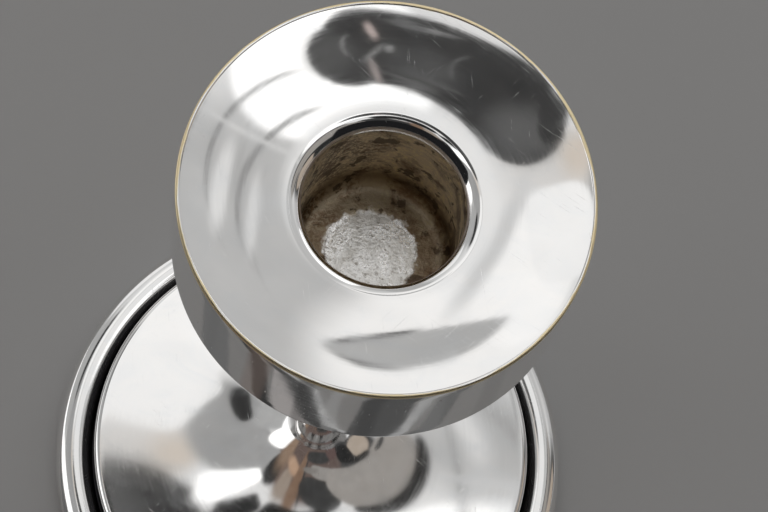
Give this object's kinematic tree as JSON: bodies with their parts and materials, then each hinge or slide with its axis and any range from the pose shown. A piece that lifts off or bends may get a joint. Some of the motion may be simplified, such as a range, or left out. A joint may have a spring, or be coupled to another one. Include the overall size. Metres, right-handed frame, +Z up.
{
  "type": "candlestick",
  "caption": "Table candlestick with a dished drum-shaped cup, a candle socket, a slim stem and a round trumpet-shaped weighted foot.",
  "frame": {"origin": "centre of the felt under the foot, on the table", "axes": "+Z up along the candlestick's axis of symmetry, from the foot to the cup"},
  "size_m": [0.0932, 0.0932, 0.14],
  "materials": {
    "polished_silver": "bright silver plate over brass, hand polished, with fine wiping scratches and brass showing along the rim",
    "tarnished_silver": "brown tarnish and wax residue on the wall, a bare grainy silver disc in the floor",
    "raw_brass": "turned, unplated",
    "plain_steel": "zinc plated",
    "cast_filling": "rough casting",
    "fibre_board": "pressed fibre board",
    "felt": "dark green wool felt"
  },
  "bodies": {
    "root": {"cup_pan": "polished_silver", "cup_shell": "polished_silver", "candle_socket": "tarnished_silver", "socket_boss": "raw_brass", "neck_collar": "polished_silver", "upper_sleeve": "raw_brass", "stem_tube": "polished_silver", "lower_sleeve": "raw_brass", "base_dish": "polished_silver", "foot_ring": "polished_silver", "ballast": "cast_filling", "tie_rod": "plain_steel", "spreader_washer": "plain_steel", "lock_washer": "plain_steel", "tie_nut": "plain_steel", "closing_plate": "fibre_board", "felt_pad": "felt"}
  },
  "joints": []
}
